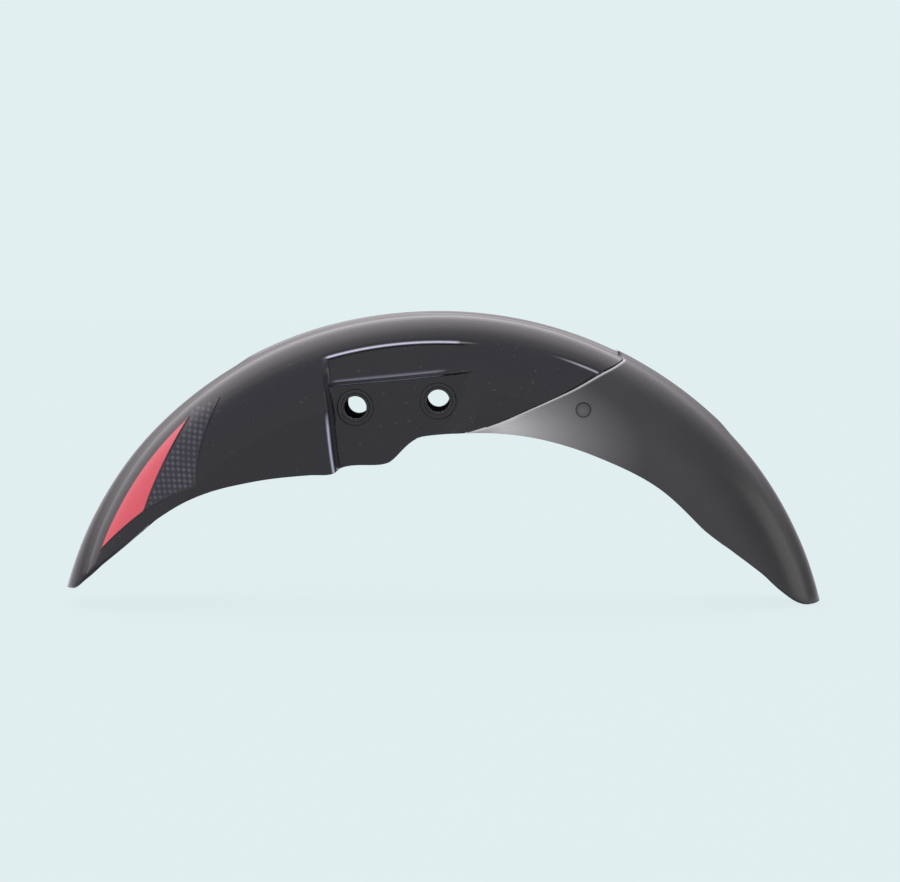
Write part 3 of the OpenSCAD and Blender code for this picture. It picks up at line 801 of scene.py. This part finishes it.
def makeWeave(name, side):
    strip = math.degrees(film["strip"] / arch["crownRadius"])
    top, bend, heel = film["flashTop"], film["flashBend"], film["flashHeel"]
    return makeFilm(name, side,
                    [[0, *film["weavePeak"]], [0.14, top[0] + film["flashPoint"] + strip, top[1]],
                     [0.57, bend[0] + strip, bend[1]], [1, heel[0] + strip, heel[1]]],
                    [[0, *film["weaveTop"]], [0.62, *film["weaveBend"]], [1, *film["weaveHeel"]]],
                    *film["weaveRows"])


frontShell = makeFrontShell()
print("front shell:", len(frontShell.data.polygons), "faces")
rearExtension = makeRearExtension()
print("rear extension:", len(rearExtension.data.polygons), "faces")
flashes = [makeFlash("flashFilm" + word, side) for word, side in (("Left", -1), ("Right", 1))]
weaves = [makeWeave("weaveFilm" + word, side) for word, side in (("Left", -1), ("Right", 1))]
print("films ready")

fastener = {   # the joining screws, then their washers, in millimetres
    "Head Diameter": 9.5,
    "Head Height": 3.2,
    "Core Diameter": 4.2,
    "Length": 7.0,
    "Recess Width": 1.3,
    "Washer Diameter": 16.0,
    "Washer Bore": 5.2,
    "Washer Thickness": 1.2,
}


def newTree(name, sizes):   # an empty tree with its sizes as named inputs, in metres
    tree = bpy.data.node_groups.new(name, "GeometryNodeTree")
    tree.interface.new_socket(name="Geometry", in_out="INPUT", socket_type="NodeSocketGeometry")
    tree.interface.new_socket(name="Geometry", in_out="OUTPUT", socket_type="NodeSocketGeometry")
    for size in sizes:
        tree.interface.new_socket(name=size, in_out="INPUT", socket_type="NodeSocketFloat")
    inner = tree.nodes.new("NodeGroupInput")
    outer = tree.nodes.new("NodeGroupOutput")
    return tree, inner, outer


def feed(tree, value, socket):   # a number, or the output of another node
    if isinstance(value, (int, float)):
        socket.default_value = value
    else:
        tree.links.new(value, socket)


def calc(tree, how, a, b):
    node = tree.nodes.new("ShaderNodeMath")
    node.operation = how
    feed(tree, a, node.inputs[0])
    feed(tree, b, node.inputs[1])
    return node.outputs[0]


def times(tree, a, b):
    return calc(tree, "MULTIPLY", a, b)


def moved(tree, geometry, z):
    height = tree.nodes.new("ShaderNodeCombineXYZ")
    feed(tree, z, height.inputs["Z"])
    node = tree.nodes.new("GeometryNodeTransform")
    tree.links.new(geometry, node.inputs["Geometry"])
    tree.links.new(height.outputs[0], node.inputs["Translation"])
    return node.outputs["Geometry"]


def rod(tree, radius, depth, vertices=48):
    node = tree.nodes.new("GeometryNodeMeshCylinder")
    setInputs(node, {"Vertices": vertices})
    tree.links.new(radius, node.inputs["Radius"])
    tree.links.new(depth, node.inputs["Depth"])
    return node.outputs["Mesh"]


def setOnPoints(tree, inner, outer, shape, material):   # instances, made real, with their finish
    nodes, links = tree.nodes, tree.links
    facing = nodes.new("GeometryNodeInputNamedAttribute")
    facing.data_type = "FLOAT_VECTOR"
    setInputs(facing, {"Name": "facing"})
    align = nodes.new("FunctionNodeAlignRotationToVector")
    align.axis = "Z"
    links.new(facing.outputs["Attribute"], align.inputs["Vector"])
    place = nodes.new("GeometryNodeInstanceOnPoints")
    links.new(inner.outputs["Geometry"], place.inputs["Points"])
    links.new(shape, place.inputs["Instance"])
    links.new(align.outputs["Rotation"], place.inputs["Rotation"])
    real = nodes.new("GeometryNodeRealizeInstances")
    finish = nodes.new("GeometryNodeSetMaterial")
    setInputs(finish, {"Material": material})
    links.new(place.outputs["Instances"], real.inputs["Geometry"])
    links.new(real.outputs["Geometry"], finish.inputs["Geometry"])
    links.new(finish.outputs["Geometry"], outer.inputs["Geometry"])


def screwTree(material):
    tree, inner, outer = newTree("joiningScrewSet", list(fastener)[:5])
    nodes, links = tree.nodes, tree.links
    size = inner.outputs
    tall, wide, slot = size["Head Height"], size["Head Diameter"], size["Recess Width"]
    headRadius = times(tree, wide, 0.5)
    bodyHeight = times(tree, tall, 0.72)
    capHeight = calc(tree, "SUBTRACT", tall, bodyHeight)
    body = moved(tree, rod(tree, headRadius, bodyHeight), times(tree, bodyHeight, -0.5))
    cap = nodes.new("GeometryNodeMeshCone")
    setInputs(cap, {"Vertices": 44})
    sunk = times(tree, tall, 0.1)   # the parts reach into one another
    links.new(times(tree, headRadius, 0.74), cap.inputs["Radius Top"])
    links.new(times(tree, headRadius, 0.97), cap.inputs["Radius Bottom"])
    links.new(calc(tree, "ADD", capHeight, sunk), cap.inputs["Depth"])
    turn = nodes.new("GeometryNodeTransform")
    links.new(cap.outputs["Mesh"], turn.inputs["Geometry"])
    setInputs(turn, {"Rotation": (math.pi, 0, 0)})
    cap = moved(tree, turn.outputs["Geometry"], calc(tree, "SUBTRACT", sunk, bodyHeight))
    coreRadius = times(tree, size["Core Diameter"], 0.5)
    whole = calc(tree, "ADD", size["Length"], sunk)
    core = moved(tree, rod(tree, coreRadius, whole, 34),
                 calc(tree, "SUBTRACT", times(tree, whole, 0.5), sunk))
    recesses = []
    arm = times(tree, wide, 0.6)
    for long, short, deep in ((arm, slot, 1.0), (slot, arm, 1.04)):
        box = nodes.new("GeometryNodeMeshCube")
        vector = nodes.new("ShaderNodeCombineXYZ")
        links.new(long, vector.inputs["X"])
        links.new(short, vector.inputs["Y"])
        links.new(times(tree, tall, deep), vector.inputs["Z"])
        links.new(vector.outputs[0], box.inputs["Size"])
        recesses.append(moved(tree, box.outputs["Mesh"], times(tree, tall, -1)))
    cut = nodes.new("GeometryNodeMeshBoolean")
    cut.operation = "DIFFERENCE"
    fuse = nodes.new("GeometryNodeMeshBoolean")
    fuse.operation = "UNION"
    for part in (body, cap, core):
        links.new(part, fuse.inputs["Mesh 2"])
    links.new(fuse.outputs["Mesh"], cut.inputs["Mesh 1"])
    for part in recesses:
        links.new(part, cut.inputs["Mesh 2"])
    setOnPoints(tree, inner, outer, cut.outputs["Mesh"], material)
    return tree


def washerTree(material):
    tree, inner, outer = newTree("washerSet", list(fastener)[5:])
    nodes, links = tree.nodes, tree.links
    size = inner.outputs
    ring = nodes.new("GeometryNodeCurvePrimitiveCircle")
    setInputs(ring, {"Resolution": 64})
    wide, bore = size["Washer Diameter"], size["Washer Bore"]
    links.new(times(tree, calc(tree, "ADD", wide, bore), 0.25), ring.inputs["Radius"])
    band = nodes.new("GeometryNodeCurvePrimitiveQuadrilateral")
    links.new(times(tree, calc(tree, "SUBTRACT", wide, bore), 0.5), band.inputs["Width"])
    links.new(size["Washer Thickness"], band.inputs["Height"])
    soft = nodes.new("GeometryNodeFilletCurve")
    soft.mode = "POLY"
    setInputs(soft, {"Count": 3})
    links.new(times(tree, size["Washer Thickness"], 0.2), soft.inputs["Radius"])
    links.new(band.outputs["Curve"], soft.inputs["Curve"])
    sweep = nodes.new("GeometryNodeCurveToMesh")
    links.new(ring.outputs["Curve"], sweep.inputs["Curve"])
    links.new(soft.outputs["Curve"], sweep.inputs["Profile Curve"])
    setOnPoints(tree, inner, outer, sweep.outputs["Mesh"], material)
    return tree


def fromPoints(name, tree, heights):   # the tree's result on three points, as a plain mesh
    mesh = bpy.data.meshes.new(name)
    mesh.from_pydata([(place @ Vector((0, 0, heights))) * mm for place in screwPlaces], [], [])
    facing = mesh.attributes.new("facing", "FLOAT_VECTOR", "POINT")
    for k, place in enumerate(screwPlaces):
        facing.data[k].vector = (place.to_3x3() @ Vector((0, 0, 1))).normalized()
    obj = bpy.data.objects.new(name, mesh)
    scene.collection.objects.link(obj)
    mod = obj.modifiers.new("make", "NODES")
    mod.node_group = tree
    for item in tree.interface.items_tree:
        if item.in_out == "INPUT" and item.name in fastener:
            mod[item.identifier] = fastener[item.name] * mm
    graph = bpy.context.evaluated_depsgraph_get()
    result = bpy.data.meshes.new_from_object(obj.evaluated_get(graph))
    obj.modifiers.remove(mod)
    obj.data = result
    smooth(obj, 30)
    return obj


def newMaterial(name):
    mat = bpy.data.materials.new(name)
    mat.use_nodes = True
    shader = mat.node_tree.nodes["Principled BSDF"]
    coord = mat.node_tree.nodes.new("ShaderNodeTexCoord")
    return mat, mat.node_tree, shader, coord.outputs["Object"]


def noise(tree, source, scale, detail=2.0, rough=0.5):
    node = tree.nodes.new("ShaderNodeTexNoise")
    setInputs(node, {"Scale": scale, "Detail": detail, "Roughness": rough})
    tree.links.new(source, node.inputs["Vector"])
    return node.outputs["Fac"]


def mapRange(tree, value, low, high, outLow, outHigh):
    node = tree.nodes.new("ShaderNodeMapRange")
    setInputs(node, {"From Min": low, "From Max": high, "To Min": outLow, "To Max": outHigh})
    tree.links.new(value, node.inputs["Value"])
    return node.outputs["Result"]


def blendColour(tree, factor, first, second):
    node = tree.nodes.new("ShaderNodeMix")
    node.data_type = "RGBA"
    tree.links.new(factor, node.inputs["Factor"])
    for slot, colour in (("A", first), ("B", second)):
        socket = [s for s in node.inputs if s.name == slot and s.type == "RGBA"][0]
        if isinstance(colour, tuple):
            socket.default_value = (*colour, 1)
        else:
            tree.links.new(colour, socket)
    return [s for s in node.outputs if s.type == "RGBA"][0]


def bump(tree, shader, height, distance, strength=1.0, below=None, slot="Normal"):
    node = tree.nodes.new("ShaderNodeBump")
    setInputs(node, {"Strength": strength, "Distance": distance})
    tree.links.new(height, node.inputs["Height"])
    if below is not None:
        tree.links.new(below, node.inputs["Normal"])
    tree.links.new(node.outputs["Normal"], shader.inputs[slot])
    return node.outputs["Normal"]


def attribute(tree, name):
    node = tree.nodes.new("ShaderNodeAttribute")
    node.attribute_name = name
    return node.outputs["Fac"]


gloss = {
    "paint": (0.0062, 0.0062, 0.0078),
    "roughness": 0.3,
    "orangePeel": 0.00001,    # metres of the lacquer's waviness
    "chip": (0.05, 0.045, 0.045),
    # painted highlight tone for the lines along the folds, crease, groove and riser
    "highlightTone": (0.64, 0.67, 0.8),
    "dust": (0.2, 0.2, 0.2),
    "shader": {"Specular IOR Level": 0.06, "Coat Weight": 1.0, "Coat Roughness": 0.035},
    "scales": {"cloud": 9, "dust": 900, "chips": 330, "peel": 260},
}


def glossBlack():
    mat, tree, shader, place = newMaterial("glossBlack")
    wide, dust, chips = (noise(tree, place, gloss["scales"][name], detail, rough) for name, detail, rough
                         in (("cloud", 3, 0.5), ("dust", 2, 0.6), ("chips", 1, 0.4)))
    speck = mapRange(tree, chips, 0.745, 0.76, 0, 1)
    shade = blendColour(tree, wide, gloss["paint"], tuple(1.5 * c for c in gloss["paint"]))
    shade = blendColour(tree, mapRange(tree, dust, 0.62, 0.8, 0, 0.12), shade, gloss["dust"])
    shade = blendColour(tree, speck, shade, gloss["chip"])
    # painted highlight lines along the folds, crease and groove, and a lightened riser
    shade = blendColour(tree, attribute(tree, "paintedFoldHighlight"), shade, gloss["highlightTone"])
    tree.links.new(shade, shader.inputs["Base Color"])
    tree.links.new(mapRange(tree, wide, 0.3, 0.7, gloss["roughness"] - 0.06, gloss["roughness"] + 0.08),
                   shader.inputs["Roughness"])
    setInputs(shader, gloss["shader"])
    peel = noise(tree, place, gloss["scales"]["peel"], 1, 0.4)
    bump(tree, shader, peel, gloss["orangePeel"], 1.0, slot="Coat Normal")
    bump(tree, shader, dust, 0.00002, 0.3)
    return mat


satin = {
    "plastic": (0.036, 0.036, 0.0355),
    "scuffed": (0.045, 0.045, 0.044),
    # painted pool of light
    "paintedLitPatch": (0.68, 0.675, 0.645),
    # painted highlight tone for the front edge
    "edgeHighlightTone": (0.75, 0.75, 0.72),
    # painted shade tone for the dimples
    "paintedDimpleShade": (0.012, 0.012, 0.012),
    "roughness": 0.25,
    "grain": 0.00003,
    "fleck": (0.08, 0.08, 0.078),
    "edgeRoughness": 0.22,
    "scales": {"cloud": 7, "grain": 1500, "leather": 1100},
}


def satinGrey():
    mat, tree, shader, place = newMaterial("satinGrey")
    wide = noise(tree, place, satin["scales"]["cloud"], 4, 0.6)
    grain = noise(tree, place, satin["scales"]["grain"], 3, 0.6)
    leather = tree.nodes.new("ShaderNodeTexVoronoi")
    setInputs(leather, {"Scale": satin["scales"]["leather"]})
    tree.links.new(place, leather.inputs["Vector"])
    base = blendColour(tree, mapRange(tree, wide, 0.35, 0.7, 0, 1), satin["plastic"], satin["scuffed"])
    base = blendColour(tree, mapRange(tree, grain, 0.4, 0.75, 0, 0.3), base, satin["fleck"])
    # painted pool of light behind the lower end
    base = blendColour(tree, attribute(tree, "paintedLitPatch"), base, satin["paintedLitPatch"])
    # painted shade round each dimple
    base = blendColour(tree, attribute(tree, "paintedDimpleShade"), base, satin["paintedDimpleShade"])
    # painted highlight along the front edge, with a lower roughness there
    edge = attribute(tree, "paintedEdgeHighlight")
    wearAndEdgeHighlight = mapRange(tree, edge, 0.1, 0.9, 0, 0.8)
    tree.links.new(blendColour(tree, wearAndEdgeHighlight, base, satin["edgeHighlightTone"]), shader.inputs["Base Color"])
    tree.links.new(mapRange(tree, edge, 0, 1, satin["roughness"], satin["edgeRoughness"]),
                   shader.inputs["Roughness"])
    lower = bump(tree, shader, leather.outputs["Distance"], satin["grain"], 0.5)
    bump(tree, shader, grain, satin["grain"], 0.6, below=lower)
    return mat


red = {
    "light": (0.84, 0.085, 0.115),
    "deep": (0.92, 0.11, 0.14),
    "outline": (0.16, 0.012, 0.02),
    "outlineWidth": 0.65,
    "shader": {"Roughness": 0.38, "Coat Weight": 0.6, "Coat Roughness": 0.12},
    "grainScale": 420,
}


def redFlash():
    mat, tree, shader, place = newMaterial("redFlash")
    edge = attribute(tree, "inFromEdge")
    grain = noise(tree, place, red["grainScale"], 3)
    body = blendColour(tree, grain, red["light"], red["deep"])
    line = mapRange(tree, edge, red["outlineWidth"] - 0.1, red["outlineWidth"] + 0.1, 1, 0)
    tree.links.new(blendColour(tree, line, body, red["outline"]), shader.inputs["Base Color"])
    setInputs(shader, red["shader"])
    bump(tree, shader, grain, 0.00001, 0.4)
    return mat


weave = {
    "pitch": 6.6,
    "dark": (0.021, 0.02, 0.026),
    "light": (0.092, 0.088, 0.112),
    "crest": 0.45,           # the power that flattens each check's crest
    "margin": (0.2, 2.6),    # where the print fades in from the film's edge
    "wornScale": 60,
    "shader": {"Specular IOR Level": 0.06, "Roughness": 0.35, "Coat Weight": 1.0,
               "Coat Roughness": 0.06},
    "relief": 0.00004,
}


def darkWeave():   # staggered checks of a printed cloth, each one lighter in its middle
    mat, tree, shader, place = newMaterial("darkWeave")
    uv = tree.nodes.new("ShaderNodeUVMap")
    uv.uv_map = "filmMillimetres"
    check = tree.nodes.new("ShaderNodeTexChecker")
    setInputs(check, {"Scale": 2 / weave["pitch"]})
    tree.links.new(uv.outputs["UV"], check.inputs["Vector"])
    split = tree.nodes.new("ShaderNodeSeparateXYZ")
    tree.links.new(uv.outputs["UV"], split.inputs[0])
    crests = []
    for axis in "XY":
        angle = times(tree, split.outputs[axis], 2 * math.pi / weave["pitch"])
        crest = calc(tree, "SINE", angle, 0)
        crest = calc(tree, "ABSOLUTE", crest, 0)
        crests.append(calc(tree, "POWER", crest, weave["crest"]))
    middle = times(tree, crests[0], crests[1])
    light = times(tree, check.outputs["Fac"], middle)
    inside = mapRange(tree, attribute(tree, "inFromEdge"), *weave["margin"], 0, 1)
    light = times(tree, light, inside)
    wearAndEdgeHighlight = noise(tree, place, weave["wornScale"], 2)
    light = times(tree, light, mapRange(tree, wearAndEdgeHighlight, 0.3, 0.6, 0.55, 1.2))
    tree.links.new(blendColour(tree, light, weave["dark"], weave["light"]), shader.inputs["Base Color"])
    setInputs(shader, weave["shader"])
    bump(tree, shader, light, weave["relief"], 0.5)
    return mat


zinc = {"bright": (0.42, 0.42, 0.41), "yellowed": (0.62, 0.61, 0.56), "cloudScale": 300, "grainScale": 2500}


def zincSteel():
    mat, tree, shader, place = newMaterial("zincSteel")
    cloud = noise(tree, place, zinc["cloudScale"], 4, 0.6)
    tree.links.new(blendColour(tree, cloud, zinc["bright"], zinc["yellowed"]), shader.inputs["Base Color"])
    setInputs(shader, {"Metallic": 1.0})
    tree.links.new(mapRange(tree, cloud, 0.3, 0.7, 0.28, 0.45), shader.inputs["Roughness"])
    bump(tree, shader, noise(tree, place, zinc["grainScale"], 2), 0.00001, 0.5)
    return mat


finishes = {"gloss_black": glossBlack(), "satin_grey": satinGrey(), "red_film": redFlash(),
            "weave_film": darkWeave(), "zinc_steel": zincSteel()}
screws = fromPoints("joiningScrews", screwTree(finishes["zinc_steel"]), seatZ - fastener["Washer Thickness"])
washers = fromPoints("screwWashers", washerTree(finishes["zinc_steel"]),
                     seatZ - fastener["Washer Thickness"] / 2)
print("fasteners ready")


def dress(obj, node, slot):
    obj.data.materials.clear()
    obj.data.materials.append(finishes[slot])
    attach(obj, "root")
    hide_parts(node)


for piece in ((frontShell, "front_shell", "gloss_black"),
              (rearExtension, "rear_extension", "satin_grey"),
              (flashes[0], "flash_film_left", "red_film"), (flashes[1], "flash_film_right", "red_film"),
              (weaves[0], "weave_film_left", "weave_film"), (weaves[1], "weave_film_right", "weave_film"),
              (screws, "joining_screws", "zinc_steel"), (washers, "screw_washers", "zinc_steel")):
    dress(*piece)
print("pieces dressed")
